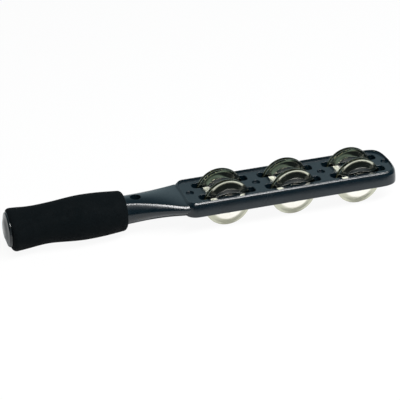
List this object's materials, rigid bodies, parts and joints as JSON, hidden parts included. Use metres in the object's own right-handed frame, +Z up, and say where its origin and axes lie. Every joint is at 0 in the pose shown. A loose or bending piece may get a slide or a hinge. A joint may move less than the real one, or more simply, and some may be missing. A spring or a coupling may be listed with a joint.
{
  "type": "jingle stick",
  "caption": "Moulded jingle stick with a contoured foam grip, rounded butt cap, flared neck with hanging hole, and slotted tray head carrying pairs of steel jingles on cross pins.",
  "frame": {"origin": "under the middle of the stick, in its mirror plane, level with the lowest edge of the jingles", "axes": "+X along the stick from the butt to the tip, +Y across it to the left, +Z up out of the panel"},
  "size_m": [0.4018, 0.0586, 0.0483],
  "materials": {
    "stick_plastic": "satin moulded black plastic",
    "grip_foam": "matt closed-cell foam rubber",
    "cap_plastic": "polished black plastic",
    "jingle_nickel": "bright nickel-plated pressed steel",
    "pin_steel": "drawn steel pin"
  },
  "bodies": {
    "stick": {"stick_body": "stick_plastic", "foam_grip": "grip_foam", "end_cap": "cap_plastic", "cross_pin_1": "pin_steel", "cross_pin_2": "pin_steel", "cross_pin_3": "pin_steel"},
    "jingle_right_1_outer": {"jingle_right_1_outer": "jingle_nickel"},
    "jingle_right_1_inner": {"jingle_right_1_inner": "jingle_nickel"},
    "jingle_left_1_outer": {"jingle_left_1_outer": "jingle_nickel"},
    "jingle_left_1_inner": {"jingle_left_1_inner": "jingle_nickel"},
    "jingle_right_2_outer": {"jingle_right_2_outer": "jingle_nickel"},
    "jingle_right_2_inner": {"jingle_right_2_inner": "jingle_nickel"},
    "jingle_left_2_outer": {"jingle_left_2_outer": "jingle_nickel"},
    "jingle_left_2_inner": {"jingle_left_2_inner": "jingle_nickel"},
    "jingle_right_3_outer": {"jingle_right_3_outer": "jingle_nickel"},
    "jingle_right_3_inner": {"jingle_right_3_inner": "jingle_nickel"},
    "jingle_left_3_outer": {"jingle_left_3_outer": "jingle_nickel"},
    "jingle_left_3_inner": {"jingle_left_3_inner": "jingle_nickel"}
  },
  "joints": [
    {"name": "jingle_right_1_outer_slide", "type": "slide", "parent": "stick", "child": "jingle_right_1_outer", "axis": [0, 1, 0], "range_m": [-0.0006, 0.00155]},
    {"name": "jingle_right_1_inner_slide", "type": "slide", "parent": "stick", "child": "jingle_right_1_inner", "axis": [0, 1, 0], "range_m": [-0.00155, 0.0006]},
    {"name": "jingle_left_1_outer_slide", "type": "slide", "parent": "stick", "child": "jingle_left_1_outer", "axis": [0, 1, 0], "range_m": [-0.00155, 0.0006]},
    {"name": "jingle_left_1_inner_slide", "type": "slide", "parent": "stick", "child": "jingle_left_1_inner", "axis": [0, 1, 0], "range_m": [-0.0006, 0.00155]},
    {"name": "jingle_right_2_outer_slide", "type": "slide", "parent": "stick", "child": "jingle_right_2_outer", "axis": [0, 1, 0], "range_m": [-0.0006, 0.00155]},
    {"name": "jingle_right_2_inner_slide", "type": "slide", "parent": "stick", "child": "jingle_right_2_inner", "axis": [0, 1, 0], "range_m": [-0.00155, 0.0006]},
    {"name": "jingle_left_2_outer_slide", "type": "slide", "parent": "stick", "child": "jingle_left_2_outer", "axis": [0, 1, 0], "range_m": [-0.00155, 0.0006]},
    {"name": "jingle_left_2_inner_slide", "type": "slide", "parent": "stick", "child": "jingle_left_2_inner", "axis": [0, 1, 0], "range_m": [-0.0006, 0.00155]},
    {"name": "jingle_right_3_outer_slide", "type": "slide", "parent": "stick", "child": "jingle_right_3_outer", "axis": [0, 1, 0], "range_m": [-0.0006, 0.00155]},
    {"name": "jingle_right_3_inner_slide", "type": "slide", "parent": "stick", "child": "jingle_right_3_inner", "axis": [0, 1, 0], "range_m": [-0.00155, 0.0006]},
    {"name": "jingle_left_3_outer_slide", "type": "slide", "parent": "stick", "child": "jingle_left_3_outer", "axis": [0, 1, 0], "range_m": [-0.00155, 0.0006]},
    {"name": "jingle_left_3_inner_slide", "type": "slide", "parent": "stick", "child": "jingle_left_3_inner", "axis": [0, 1, 0], "range_m": [-0.0006, 0.00155]}
  ]
}
